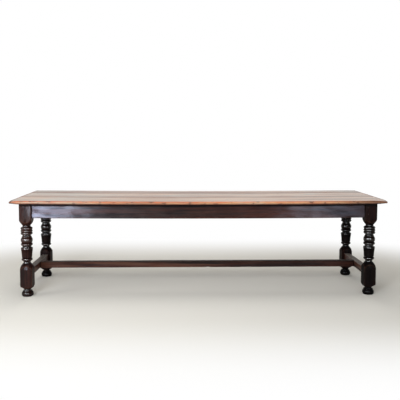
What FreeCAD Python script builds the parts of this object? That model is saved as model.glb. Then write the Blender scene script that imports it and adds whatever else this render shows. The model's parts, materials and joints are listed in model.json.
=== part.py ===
import FreeCAD, Part
import os
import Sketcher

# A long farmhouse table: a planked top on a pegged frame, with four turned legs and an H stretcher.
# Millimetres. The origin is on the floor under the middle of the table, +X runs along its length,
# +Y to the back and +Z up. The table's height is the sum of the lengths along a leg and the top.

sizes = {
    # The planked top
    "top_length": 2930,
    "top_width": 880,
    "top_thickness": 26,
    "top_arris": 4,
    "top_corner": 9,
    "front_plank_width": 316,
    "back_plank_width": 194,
    "plank_gap": 0.6,
    "tongue_width": 24,
    "tongue_thickness": 8,
    "tongue_end_margin": 70,
    # Where the legs stand, from axis to axis, and the square post that they are turned from
    "leg_spacing_length": 2720,
    "leg_spacing_width": 661,
    "block_size": 93,
    "block_arris": 3,
    "turned_diameter": 92,
    "lathe_clearance": 4,
    # Turnings from the floor to the lower block: length along the leg, then diameters
    "bun_base_diameter": 76,
    "bun_length": 40,
    "bun_top_diameter": 72,
    "foot_bead_length": 7,
    "foot_bead_diameter": 74,
    "foot_bead_top_diameter": 61,
    "ankle_length": 12,
    "ankle_diameter": 53,
    "ankle_top_diameter": 57,
    "lower_shoulder_length": 28,
    "lower_shoulder_crown": 0.6,
    # Turnings from the lower block to the vase
    "dome_length": 50,
    "dome_crown": 0.8,
    "dome_top_diameter": 68,
    "calf_neck_length": 24,
    "calf_neck_diameter": 56,
    "calf_ring_length": 17,
    "calf_ring_root_diameter": 74,
    "calf_ring_diameter": 86,
    "calf_groove_length": 7,
    "calf_groove_diameter": 64,
    # The vase, with the incised line under its rim
    "vase_foot_diameter": 79,
    "vase_length": 61,
    "vase_hollow": 1.2,
    "vase_top_diameter": 90,
    "incised_line_width": 3.4,
    "incised_line_depth": 1.3,
    "vase_rim_length": 14.6,
    "vase_rim_top_diameter": 86,
    # Turnings from the vase to the upper block
    "waist_length": 15,
    "waist_diameter": 68,
    "ring_length": 21.5,
    "ring_root_diameter": 74,
    "ball_length": 47,
    "ball_top_diameter": 72,
    "collar_length": 6,
    "collar_diameter": 75,
    "throat_length": 13.2,
    "throat_diameter": 64,
    "bead_length": 19.6,
    "bead_root_diameter": 78,
    "upper_neck_length": 14.5,
    "upper_neck_hollow": 3.5,
    "upper_neck_diameter": 62,
    "upper_shoulder_length": 53,
    "upper_shoulder_crown": 0.6,
    "block_drop": 7,
    # Aprons and their tenons
    "apron_height": 116,
    "apron_thickness": 28,
    "apron_setback": 6,
    "apron_arris": 2,
    "apron_tenon_length": 55,
    "apron_tenon_thickness": 12,
    "apron_tenon_top_shoulder": 20,
    "apron_tenon_bottom_shoulder": 12,
    # Stretchers, their tenons and the wear of feet on them
    "stretcher_lift": 65,
    "stretcher_height": 54,
    "stretcher_cover": 4,
    "end_stretcher_thickness": 55,
    "long_stretcher_thickness": 50,
    "stretcher_tenon_thickness": 14,
    "stretcher_tenon_shoulder": 10,
    "end_stretcher_tenon_length": 50,
    "long_stretcher_tenon_length": 38,
    "stretcher_arris": 4,
    "worn_arris": 12,
    "worn_start": 45,
    "worn_length": 190,
    # Bearers under the top
    "bearer_width": 60,
    "bearer_height": 45,
    "bearer_spacing": 700,
    "housing_depth": 10,
    # Pegs
    "peg_diameter": 9,
    "peg_inset": 20,
    "apron_peg_pitch": 50,
    "apron_peg_length": 42,
    "stretcher_peg_length": 60,
    "long_stretcher_peg_length": 46,
    "top_peg_length": 58,
    # Clearances
    "joint_fit": 0.2,
    "peg_fit": 0.15,
    "end_gap": 1,
}

doc = FreeCAD.newDocument("FarmhouseTable")
sheet = doc.addObject("Spreadsheet::Sheet", "Sizes")
for row, (name, number) in enumerate(sizes.items(), start=1):
    sheet.set("A%d" % row, name)
    sheet.set("B%d" % row, str(number))
    sheet.setAlias("B%d" % row, name)
doc.recompute()


class Measure:
    """A length known both as a number and as the expression that drives it."""

    def __init__(self, number, text):
        self.number = number
        self.text = text

    def joined(self, sign, other, number):
        return Measure(number, "(%s %s %s)" % (self.text, sign, other.text))

    def __add__(self, other):
        return self.joined("+", other, self.number + other.number)

    def __sub__(self, other):
        return self.joined("-", other, self.number - other.number)

    def __mul__(self, other):
        other = as_measure(other)
        return self.joined("*", other, self.number * other.number)

    def __truediv__(self, other):
        other = as_measure(other)
        return self.joined("/", other, self.number / other.number)

    def __neg__(self):
        return self * -1


def as_measure(value):
    return value if isinstance(value, Measure) else Measure(value, "(%g)" % value)


def size(name):
    return Measure(float(sheet.get(name)), "Sizes." + name)


def total(*names):
    result = size(names[0])
    for name in names[1:]:
        result = result + size(name)
    return result


def bind(thing, path, length):
    thing.setExpression(path, length.text)


nothing = as_measure(0)
bead_count = 3
square_diagonal = 2 ** 0.5

# Levels above the floor
lower_block_bottom = total("bun_length", "foot_bead_length", "ankle_length", "lower_shoulder_length")
stretcher_bottom = lower_block_bottom + size("stretcher_lift")
stretcher_top = stretcher_bottom + size("stretcher_height")
lower_block_top = stretcher_top + size("stretcher_cover")
calf_top = lower_block_top + total("dome_length", "calf_neck_length", "calf_ring_length")
vase_bottom = calf_top + size("calf_groove_length")
vase_top = vase_bottom + total("vase_length", "incised_line_width", "vase_rim_length")
ball_top = vase_top + total("waist_length", "ring_length", "ball_length", "collar_length")
beads_top = ball_top + size("throat_length") + size("bead_length") * bead_count
upper_block_bottom = beads_top + total("upper_neck_length", "upper_shoulder_length")
apron_bottom = upper_block_bottom + size("block_drop")
leg_top = apron_bottom + size("apron_height")
table_top = leg_top + size("top_thickness")

# Distances from the middle of the table
leg_x = size("leg_spacing_length") / 2
leg_y = size("leg_spacing_width") / 2
half_block = size("block_size") / 2
lathe_swing = half_block * square_diagonal + size("lathe_clearance")
apron_line = half_block - size("apron_setback") - size("apron_thickness") / 2
front_edge = -size("top_width") / 2
back_edge = size("top_width") / 2
front_seam = front_edge + size("front_plank_width")
back_seam = back_edge - size("back_plank_width")
long_apron_y = leg_y + apron_line
end_apron_x = leg_x + apron_line

# Tenons and pegs
apron_tenon_bottom = apron_bottom + size("apron_tenon_bottom_shoulder")
apron_tenon_top = leg_top - size("apron_tenon_top_shoulder")
stretcher_tenon_bottom = stretcher_bottom + size("stretcher_tenon_shoulder")
stretcher_tenon_top = stretcher_top - size("stretcher_tenon_shoulder")
apron_peg_middle = (apron_tenon_bottom + apron_tenon_top) / 2
apron_peg_levels = [apron_peg_middle + size("apron_peg_pitch") / 2 * side for side in (-1, 1)]
stretcher_peg_level = (stretcher_bottom + stretcher_top) / 2
peg_radius = size("peg_diameter") / 2
hole_radius = peg_radius + size("peg_fit")
top_peg_bottom = table_top - size("top_peg_length")
long_apron_peg_places = [size("bearer_spacing") / 2 * step for step in (-3, -1, 1, 3)]
middle_plank_middle = (front_seam + back_seam) / 2
middle_plank_peg_reach = (back_seam - front_seam) / 4
middle_plank_peg_places = [middle_plank_middle + middle_plank_peg_reach * side for side in (-1, 1)]
bearer_places = [size("bearer_spacing") * step for step in (-1, 0, 1)]

bodies = []
cuts = []


def new_body(label):
    body = doc.addObject("PartDesign::Body", label)
    body.Label = label
    bodies.append(body)
    return body


def new_sketch(body, name, role, offset=nothing):
    sketch = body.newObject("Sketcher::SketchObject", name)
    plane = [feature for feature in body.Origin.OriginFeatures if feature.Role == role][0]
    sketch.AttachmentSupport = (plane, [""])
    sketch.MapMode = "FlatFace"
    bind(sketch, "AttachmentOffset.Base.z", offset)
    return sketch


def fix(sketch, kind, first, first_place, second, second_place, length):
    constraint = Sketcher.Constraint(kind, first, first_place, second, second_place, length.number)
    bind(sketch, "Constraints[%d]" % sketch.addConstraint(constraint), length)


def place_vertex(sketch, geometry, position, x, y):
    fix(sketch, "DistanceX", -1, 1, geometry, position, x)
    fix(sketch, "DistanceY", -1, 1, geometry, position, y)


def arc_between(start, finish, bulge):
    """Arc from start to finish that bows to the right of the way by the bulge, and its radius."""
    across = finish[0] - start[0]
    along = finish[1] - start[1]
    radius = ((across * across + along * along) / 4 + bulge * bulge) / (bulge * 2)
    begin = FreeCAD.Vector(start[0].number, start[1].number, 0)
    end = FreeCAD.Vector(finish[0].number, finish[1].number, 0)
    way = (end - begin).normalize()
    right = FreeCAD.Vector(way.y, -way.x, 0)
    middle = (begin + end) / 2 + right * bulge.number
    return Part.Arc(begin, middle, end), radius


def draw_outline(sketch, points, bulges):
    """Closed outline through the points. A stretch with a bulge is an arc, the others are straight."""
    ends = []
    for index, start in enumerate(points):
        finish = points[(index + 1) % len(points)]
        bulge = bulges[index]
        if bulge is None:
            begin = FreeCAD.Vector(start[0].number, start[1].number, 0)
            end = FreeCAD.Vector(finish[0].number, finish[1].number, 0)
            line = sketch.addGeometry(Part.LineSegment(begin, end), False)
            ends.append((line, 1, 2))
            continue
        arc, radius = arc_between(start, finish, bulge)
        curve = sketch.addGeometry(arc, False)
        goes_forward = bulge.number > 0
        ends.append((curve, 1, 2) if goes_forward else (curve, 2, 1))
        size_of_arc = radius if goes_forward else -radius
        constraint = Sketcher.Constraint("Radius", curve, size_of_arc.number)
        bind(sketch, "Constraints[%d]" % sketch.addConstraint(constraint), size_of_arc)
    for index, (geometry, first, last) in enumerate(ends):
        follower, follower_first, _ = ends[(index + 1) % len(ends)]
        sketch.addConstraint(Sketcher.Constraint("Coincident", geometry, last, follower, follower_first))
        place_vertex(sketch, geometry, first, points[index][0], points[index][1])


def draw_rectangle(sketch, x_range, y_range):
    corners = [
        (x_range[0], y_range[0]),
        (x_range[1], y_range[0]),
        (x_range[1], y_range[1]),
        (x_range[0], y_range[1]),
    ]
    draw_outline(sketch, corners, [None] * len(corners))


def draw_circles(sketch, centres, radius):
    for x, y in centres:
        centre = FreeCAD.Vector(x.number, y.number, 0)
        circle = sketch.addGeometry(Part.Circle(centre, FreeCAD.Vector(0, 0, 1), radius.number), False)
        place_vertex(sketch, circle, 3, x, y)
        constraint = Sketcher.Constraint("Radius", circle, radius.number)
        bind(sketch, "Constraints[%d]" % sketch.addConstraint(constraint), radius)


def add_block(body, name, x_range, y_range, bottom, top):
    sketch = new_sketch(body, name + "_outline", "XY_Plane", bottom)
    draw_rectangle(sketch, x_range, y_range)
    pad = body.newObject("PartDesign::Pad", name)
    pad.Profile = sketch
    bind(pad, "Length", top - bottom)


def cut(body, name, sketch, length, backwards):
    pocket = body.newObject("PartDesign::Pocket", name)
    pocket.Profile = sketch
    pocket.Reversed = backwards
    bind(pocket, "Length", length)
    cuts.append(pocket)


def cut_block(body, name, x_range, y_range, bottom, top):
    sketch = new_sketch(body, name + "_outline", "XY_Plane", bottom)
    draw_rectangle(sketch, x_range, y_range)
    cut(body, name, sketch, top - bottom, True)


def drill_down(body, name, centres, level, depth):
    sketch = new_sketch(body, name + "_centres", "XY_Plane", level)
    draw_circles(sketch, centres, hole_radius)
    cut(body, name, sketch, depth, False)


def drill_along_x(body, name, centres, start, depth, way):
    """Holes at (y, z) centres from X = start, towards +X or -X."""
    sketch = new_sketch(body, name + "_centres", "YZ_Plane", start)
    draw_circles(sketch, centres, hole_radius)
    cut(body, name, sketch, depth, way > 0)


def drill_along_y(body, name, centres, start, depth, way):
    """Holes at (x, z) centres from Y = start, towards +Y or -Y."""
    sketch = new_sketch(body, name + "_centres", "XZ_Plane", -start)
    draw_circles(sketch, centres, hole_radius)
    cut(body, name, sketch, depth, way < 0)


def round_edges(body, name, radius, wanted):
    doc.recompute()
    base = body.Tip
    numbered = enumerate(base.Shape.Edges, start=1)
    edges = ["Edge%d" % number for number, edge in numbered if wanted(edge.BoundBox)]
    fillet = body.newObject("PartDesign::Fillet", name)
    fillet.Base = (base, edges)
    bind(fillet, "Radius", radius)


def near(first, second):
    return abs(first - second) < 0.01


def centred(half_length):
    return (-half_length, half_length)


def around(middle, half_length):
    return (middle - half_length, middle + half_length)


class Turning:
    """The outline that the lathe leaves, from the floor upwards: radius and level of each point."""

    def __init__(self, radius, level):
        self.points = [(radius, level)]
        self.bulges = []

    def turn(self, length, end_radius, bulge=None):
        self.points.append((end_radius, self.points[-1][1] + length))
        self.bulges.append(bulge)

    def bead(self, length, end_radius, middle_radius):
        """A bead or a hollow that reaches the middle radius half-way along its length."""
        self.turn(length, end_radius, middle_radius - (self.points[-1][0] + end_radius) / 2)

    def cut_from(self, body, name, closing_points):
        """Turn the post down to the outline, which the closing points complete outside the post."""
        points = self.points + closing_points
        bulges = self.bulges + [None] * (len(points) - len(self.bulges))
        sketch = new_sketch(body, name + "_outline", "XZ_Plane")
        draw_outline(sketch, points, bulges)
        groove = body.newObject("PartDesign::Groove", name)
        groove.Profile = sketch
        groove.ReferenceAxis = (sketch, ["V_Axis"])
        groove.Angle = 360
        cuts.append(groove)


def radius_of(name):
    return size(name) / 2


def foot_turning():
    foot = Turning(radius_of("bun_base_diameter"), nothing)
    foot.bead(size("bun_length"), radius_of("bun_top_diameter"), radius_of("turned_diameter"))
    foot.bead(size("foot_bead_length"), radius_of("foot_bead_top_diameter"),
              radius_of("foot_bead_diameter"))
    foot.bead(size("ankle_length"), radius_of("ankle_top_diameter"), radius_of("ankle_diameter"))
    foot.turn(size("lower_shoulder_length"), lathe_swing, size("lower_shoulder_crown"))
    return foot


def shaft_turning():
    full = radius_of("turned_diameter")
    ring_root = radius_of("ring_root_diameter")
    bead_root = radius_of("bead_root_diameter")
    calf_root = radius_of("calf_ring_root_diameter")
    vase_end = radius_of("vase_top_diameter")
    line_half = size("incised_line_width") / 2
    shaft = Turning(lathe_swing, lower_block_top)
    shaft.turn(size("dome_length"), radius_of("dome_top_diameter"), size("dome_crown"))
    shaft.bead(size("calf_neck_length"), calf_root, radius_of("calf_neck_diameter"))
    shaft.bead(size("calf_ring_length"), calf_root, radius_of("calf_ring_diameter"))
    shaft.turn(size("calf_groove_length") / 2, radius_of("calf_groove_diameter"))
    shaft.turn(size("calf_groove_length") / 2, radius_of("vase_foot_diameter"))
    shaft.turn(size("vase_length"), vase_end, -size("vase_hollow"))
    shaft.turn(line_half, vase_end - size("incised_line_depth"))
    shaft.turn(line_half, vase_end)
    shaft.bead(size("vase_rim_length"), radius_of("vase_rim_top_diameter"), full)
    shaft.bead(size("waist_length"), ring_root, radius_of("waist_diameter"))
    shaft.bead(size("ring_length"), ring_root, full)
    shaft.bead(size("ball_length"), radius_of("ball_top_diameter"), full)
    shaft.bead(size("collar_length"), radius_of("ball_top_diameter"), radius_of("collar_diameter"))
    shaft.bead(size("throat_length"), bead_root, radius_of("throat_diameter"))
    for _ in range(bead_count):
        shaft.bead(size("bead_length"), bead_root, full)
    shaft.turn(size("upper_neck_length"), radius_of("upper_neck_diameter"), -size("upper_neck_hollow"))
    shaft.turn(size("upper_shoulder_length"), lathe_swing, size("upper_shoulder_crown"))
    return shaft


def make_leg(label, end, side):
    """A leg at the left (end -1) or right (end 1), at the front (side -1) or back (side 1)."""
    body = new_body(label)
    add_block(body, "post", centred(half_block), centred(half_block), nothing, leg_top)
    round_edges(body, "post_arris", size("block_arris"),
                lambda box: box.ZLength > box.XLength + box.YLength)
    foot_turning().cut_from(body, "foot", [(lathe_swing, nothing)])
    shaft_turning().cut_from(body, "shaft", [])
    fit = size("joint_fit")
    mouth_x = half_block * -end
    mouth_y = half_block * -side
    apron_half = size("apron_tenon_thickness") / 2 + fit
    apron_depth = size("apron_tenon_length") + size("end_gap")
    stretcher_half = size("stretcher_tenon_thickness") / 2 + fit
    stretcher_depth = size("end_stretcher_tenon_length") + size("end_gap")
    apron_levels = (apron_tenon_bottom - fit, apron_tenon_top + fit)
    cut_block(body, "long_apron_mortise", (mouth_x, mouth_x + apron_depth * end),
              around(apron_line * side, apron_half), *apron_levels)
    cut_block(body, "end_apron_mortise", around(apron_line * end, apron_half),
              (mouth_y, mouth_y + apron_depth * side), *apron_levels)
    cut_block(body, "stretcher_mortise", centred(stretcher_half),
              (mouth_y, mouth_y + stretcher_depth * side),
              stretcher_tenon_bottom - fit, stretcher_tenon_top + fit)
    peg_x = mouth_x + size("peg_inset") * end
    peg_y = mouth_y + size("peg_inset") * side
    apron_hole = size("apron_peg_length") + size("end_gap")
    stretcher_hole = size("stretcher_peg_length") + size("end_gap")
    drill_along_y(body, "long_apron_peg_holes", [(peg_x, level) for level in apron_peg_levels],
                  half_block * side, apron_hole, -side)
    drill_along_x(body, "end_apron_peg_holes", [(peg_y, level) for level in apron_peg_levels],
                  half_block * end, apron_hole, -end)
    drill_along_x(body, "stretcher_peg_hole", [(peg_y, stretcher_peg_level)],
                  half_block * end, stretcher_hole, -end)
    bind(body, "Placement.Base.x", leg_x * end)
    bind(body, "Placement.Base.y", leg_y * side)


def make_long_apron(label, side):
    body = new_body(label)
    shoulder = leg_x - half_block
    half_thickness = size("apron_thickness") / 2
    add_block(body, "board", centred(shoulder), centred(half_thickness), apron_bottom, leg_top)
    round_edges(body, "board_arris", size("apron_arris"),
                lambda box: near(box.ZMax, apron_bottom.number) and box.XLength > box.YLength)
    add_block(body, "tenons", centred(shoulder + size("apron_tenon_length")),
              centred(size("apron_tenon_thickness") / 2), apron_tenon_bottom, apron_tenon_top)
    reach = shoulder + size("peg_inset")
    centres = [(reach * end, level) for end in (-1, 1) for level in apron_peg_levels]
    drill_along_y(body, "peg_holes", centres, -half_thickness, size("apron_thickness"), 1)
    fit = size("joint_fit")
    inner_face = half_thickness * -side
    for number, place in enumerate(bearer_places, start=1):
        cut_block(body, "bearer_housing_%d" % number, around(place, size("bearer_width") / 2 + fit),
                  (inner_face, inner_face + size("housing_depth") * side),
                  leg_top - size("bearer_height") - fit, leg_top)
    drill_down(body, "top_peg_holes", [(place, nothing) for place in long_apron_peg_places], leg_top,
               leg_top - top_peg_bottom + size("end_gap"))
    bind(body, "Placement.Base.y", long_apron_y * side)


def make_end_apron(label, end):
    body = new_body(label)
    shoulder = leg_y - half_block
    half_thickness = size("apron_thickness") / 2
    add_block(body, "board", centred(half_thickness), centred(shoulder), apron_bottom, leg_top)
    round_edges(body, "board_arris", size("apron_arris"),
                lambda box: near(box.ZMax, apron_bottom.number) and box.YLength > box.XLength)
    add_block(body, "tenons", centred(size("apron_tenon_thickness") / 2),
              centred(shoulder + size("apron_tenon_length")), apron_tenon_bottom, apron_tenon_top)
    reach = shoulder + size("peg_inset")
    centres = [(reach * side, level) for side in (-1, 1) for level in apron_peg_levels]
    drill_along_x(body, "peg_holes", centres, -half_thickness, size("apron_thickness"), 1)
    drill_down(body, "top_peg_holes", [(nothing, place) for place in middle_plank_peg_places], leg_top,
               leg_top - top_peg_bottom + size("end_gap"))
    bind(body, "Placement.Base.x", end_apron_x * end)


def make_end_stretcher(label, end):
    body = new_body(label)
    shoulder = leg_y - half_block
    half_thickness = size("end_stretcher_thickness") / 2
    half_tenon = size("stretcher_tenon_thickness") / 2
    fit = size("joint_fit")
    inner_face = half_thickness * -end
    add_block(body, "rail", centred(half_thickness), centred(shoulder), stretcher_bottom, stretcher_top)
    round_edges(body, "rail_arris", size("stretcher_arris"),
                lambda box: near(box.ZMin, stretcher_top.number) and box.YLength > box.XLength)
    add_block(body, "tenons", centred(half_tenon), centred(shoulder + size("end_stretcher_tenon_length")),
              stretcher_tenon_bottom, stretcher_tenon_top)
    cut_block(body, "long_stretcher_mortise",
              (inner_face, inner_face + (size("long_stretcher_tenon_length") + size("end_gap")) * end),
              centred(half_tenon + fit), stretcher_tenon_bottom - fit, stretcher_tenon_top + fit)
    drill_along_x(body, "leg_peg_holes", [((shoulder + size("peg_inset")) * side, stretcher_peg_level)
                                          for side in (-1, 1)], -half_thickness,
                  size("end_stretcher_thickness"), 1)
    drill_down(body, "long_stretcher_peg_hole", [(inner_face + size("peg_inset") * end, nothing)],
               stretcher_top, size("long_stretcher_peg_length") + size("end_gap"))
    wear = new_sketch(body, "worn_arris_outline", "XZ_Plane", -size("worn_start"))
    corner = [
        (inner_face, stretcher_top),
        (inner_face, stretcher_top - size("worn_arris")),
        (inner_face + size("worn_arris") * end, stretcher_top),
    ]
    draw_outline(wear, corner, [None] * len(corner))
    cut(body, "worn_arris", wear, size("worn_length"), False)
    bind(body, "Placement.Base.x", leg_x * end)


def make_long_stretcher(label):
    body = new_body(label)
    shoulder = leg_x - size("end_stretcher_thickness") / 2
    half_thickness = size("long_stretcher_thickness") / 2
    add_block(body, "rail", centred(shoulder), centred(half_thickness), stretcher_bottom, stretcher_top)
    round_edges(body, "rail_arris", size("stretcher_arris"),
                lambda box: near(box.ZMin, stretcher_top.number) and box.XLength > box.YLength)
    add_block(body, "tenons", centred(shoulder + size("long_stretcher_tenon_length")),
              centred(size("stretcher_tenon_thickness") / 2), stretcher_tenon_bottom, stretcher_tenon_top)
    drill_down(body, "peg_holes", [((shoulder + size("peg_inset")) * end, nothing) for end in (-1, 1)],
               stretcher_top, size("stretcher_height"))


def make_bearer(label, place):
    body = new_body(label)
    reach = long_apron_y - size("apron_thickness") / 2 + size("housing_depth") - size("joint_fit")
    add_block(body, "bar", centred(size("bearer_width") / 2), centred(reach),
              leg_top - size("bearer_height"), leg_top)
    drill_down(body, "top_peg_holes", [(nothing, y) for y in middle_plank_peg_places], leg_top,
               leg_top - top_peg_bottom + size("end_gap"))
    bind(body, "Placement.Base.x", place)


def make_plank(label, y_range, seams, peg_centres):
    """A board of the top, between y_range, grooved for a tongue along each of the seams it meets."""
    body = new_body(label)
    half_length = size("top_length") / 2
    add_block(body, "board", centred(half_length), y_range, leg_top, table_top)

    def on_long_edge(box):
        return near(box.YMax, front_edge.number) or near(box.YMin, back_edge.number)

    def is_outer_corner(box):
        return not near(box.ZLength, 0) and on_long_edge(box)

    def is_outer_arris(box):
        on_seam = near(box.YLength, 0) and not on_long_edge(box)
        return near(box.ZLength, 0) and not on_seam

    if len(seams) == 1:
        round_edges(body, "corners", size("top_corner"), is_outer_corner)
    round_edges(body, "arrises", size("top_arris"), is_outer_arris)
    groove_half = size("tongue_thickness") / 2 + size("joint_fit")
    middle = (leg_top + table_top) / 2
    groove_reach = half_length - size("tongue_end_margin") + size("end_gap")
    half_width = size("tongue_width") / 2 + size("joint_fit")
    for number, seam in enumerate(seams, start=1):
        cut_block(body, "tongue_groove_%d" % number, centred(groove_reach), around(seam, half_width),
                  middle - groove_half, middle + groove_half)
    drill_down(body, "top_peg_holes", peg_centres, table_top, size("top_thickness"))


def make_tongue(label, seam):
    body = new_body(label)
    middle = (leg_top + table_top) / 2
    half_thickness = size("tongue_thickness") / 2
    add_block(body, "strip", centred(size("top_length") / 2 - size("tongue_end_margin")),
              around(seam, size("tongue_width") / 2), middle - half_thickness, middle + half_thickness)


def make_pegs(label, pegs):
    """A group of round pegs, each from the centre of its head along its direction."""
    cylinders = []
    for number, (head, direction, length) in enumerate(pegs, start=1):
        peg = doc.addObject("Part::Cylinder", "%s_%d" % (label, number))
        bind(peg, "Radius", peg_radius)
        bind(peg, "Height", length)
        turned = FreeCAD.Rotation(FreeCAD.Vector(0, 0, 1), FreeCAD.Vector(*direction))
        peg.Placement = FreeCAD.Placement(FreeCAD.Vector(), turned)
        for axis, position in zip("xyz", head):
            bind(peg, "Placement.Base." + axis, position)
        cylinders.append(peg)
    group = doc.addObject("Part::Compound", label)
    group.Label = label
    group.Links = cylinders
    bodies.append(group)


sides = {"front": -1, "back": 1}
ends = {"left": -1, "right": 1}
leg_corners = [(end, side) for side in sides.values() for end in ends.values()]

for side_name, side in sides.items():
    for end_name, end in ends.items():
        make_leg("leg_%s_%s" % (side_name, end_name), end, side)
    make_long_apron("apron_" + side_name, side)
for end_name, end in ends.items():
    make_end_apron("apron_" + end_name, end)
    make_end_stretcher("end_stretcher_" + end_name, end)
make_long_stretcher("long_stretcher")
for bearer_name, place in zip(("left", "centre", "right"), bearer_places):
    make_bearer("cross_bearer_" + bearer_name, place)

half_gap = size("plank_gap") / 2
cross_places = [-end_apron_x] + bearer_places + [end_apron_x]
middle_centres = [(x, y) for x in cross_places for y in middle_plank_peg_places]
front_centres = [(x, -long_apron_y) for x in long_apron_peg_places]
back_centres = [(x, long_apron_y) for x in long_apron_peg_places]
make_plank("top_plank_front", (front_edge, front_seam - half_gap), [front_seam], front_centres)
make_plank("top_plank_middle", (front_seam + half_gap, back_seam - half_gap),
           [front_seam, back_seam], middle_centres)
make_plank("top_plank_back", (back_seam + half_gap, back_edge), [back_seam], back_centres)
make_tongue("top_tongue_front", front_seam)
make_tongue("top_tongue_back", back_seam)

apron_pegs = []
end_stretcher_pegs = []
for end, side in leg_corners:
    inner_x = leg_x * end - (half_block - size("peg_inset")) * end
    inner_y = leg_y * side - (half_block - size("peg_inset")) * side
    outer_x = (leg_x + half_block) * end
    outer_y = (leg_y + half_block) * side
    for level in apron_peg_levels:
        apron_pegs.append(((inner_x, outer_y, level), (0, -side, 0), size("apron_peg_length")))
        apron_pegs.append(((outer_x, inner_y, level), (-end, 0, 0), size("apron_peg_length")))
    head = (outer_x, inner_y, stretcher_peg_level)
    end_stretcher_pegs.append((head, (-end, 0, 0), size("stretcher_peg_length")))
long_stretcher_peg_x = leg_x - size("end_stretcher_thickness") / 2 + size("peg_inset")
long_stretcher_pegs = [((long_stretcher_peg_x * end, nothing, stretcher_top), (0, 0, -1),
                        size("long_stretcher_peg_length")) for end in (-1, 1)]
top_pegs = [((x, y, table_top), (0, 0, -1), size("top_peg_length"))
            for x, y in front_centres + middle_centres + back_centres]
make_pegs("apron_pegs", apron_pegs)
make_pegs("end_stretcher_pegs", end_stretcher_pegs)
make_pegs("long_stretcher_pegs", long_stretcher_pegs)
make_pegs("top_pegs", top_pegs)

doc.recompute()

for thing in doc.Objects:
    if "Invalid" in thing.State or "Error" in thing.State:
        raise RuntimeError("%s failed: %s" % (thing.Label, thing.State))
for feature in cuts:
    if feature.Shape.Volume > feature.BaseFeature.Shape.Volume - 1:
        owner = feature.getParentGeoFeatureGroup()
        raise RuntimeError("%s of %s cuts nothing" % (feature.Label, owner.Label))
for body in bodies:
    if body.Shape.isNull() or not body.Shape.isValid():
        raise RuntimeError("%s has no valid shape" % body.Label)

os.makedirs("parts", exist_ok=True)
for body in bodies:
    body.Shape.exportStep("parts/%s.step" % body.Label)
    print("%-22s %2d solid(s) %8.1f cm3" % (body.Label, len(body.Shape.Solids), body.Shape.Volume / 1000))
print("table height %.1f mm" % table_top.number)
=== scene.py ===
import json
import math
from collections import namedtuple

import bpy
from mathutils import Matrix, Vector

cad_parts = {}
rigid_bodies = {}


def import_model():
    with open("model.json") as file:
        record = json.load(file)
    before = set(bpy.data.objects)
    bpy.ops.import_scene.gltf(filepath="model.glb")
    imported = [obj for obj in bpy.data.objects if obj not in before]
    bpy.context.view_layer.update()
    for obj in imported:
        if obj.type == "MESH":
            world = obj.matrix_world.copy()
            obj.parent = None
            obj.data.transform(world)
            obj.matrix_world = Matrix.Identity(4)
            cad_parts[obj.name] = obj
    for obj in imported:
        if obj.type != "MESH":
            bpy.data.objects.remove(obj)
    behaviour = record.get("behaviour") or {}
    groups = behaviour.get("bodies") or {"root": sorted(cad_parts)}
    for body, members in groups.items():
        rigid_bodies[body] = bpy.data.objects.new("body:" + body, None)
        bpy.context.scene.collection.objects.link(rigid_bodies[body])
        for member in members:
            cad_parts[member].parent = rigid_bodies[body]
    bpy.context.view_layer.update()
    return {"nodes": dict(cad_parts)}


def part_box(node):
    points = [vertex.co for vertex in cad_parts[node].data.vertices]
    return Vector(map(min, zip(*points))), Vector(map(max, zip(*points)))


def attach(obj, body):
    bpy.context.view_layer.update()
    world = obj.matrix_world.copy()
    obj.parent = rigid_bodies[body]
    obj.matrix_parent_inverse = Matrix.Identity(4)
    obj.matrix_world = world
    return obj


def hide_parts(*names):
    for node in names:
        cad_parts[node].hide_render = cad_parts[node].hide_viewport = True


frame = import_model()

scene = bpy.context.scene
print("table loaded:", len(frame["nodes"]), "pieces of the joiner's model")


def straight(operation):
    # an operator that adds a Math node
    return lambda wire, *others: wire.maths(operation, wire, *others)


def reflected(operation):
    # the other way round, so that 1 - mask works
    return lambda wire, other: wire.maths(operation, other, wire)


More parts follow.
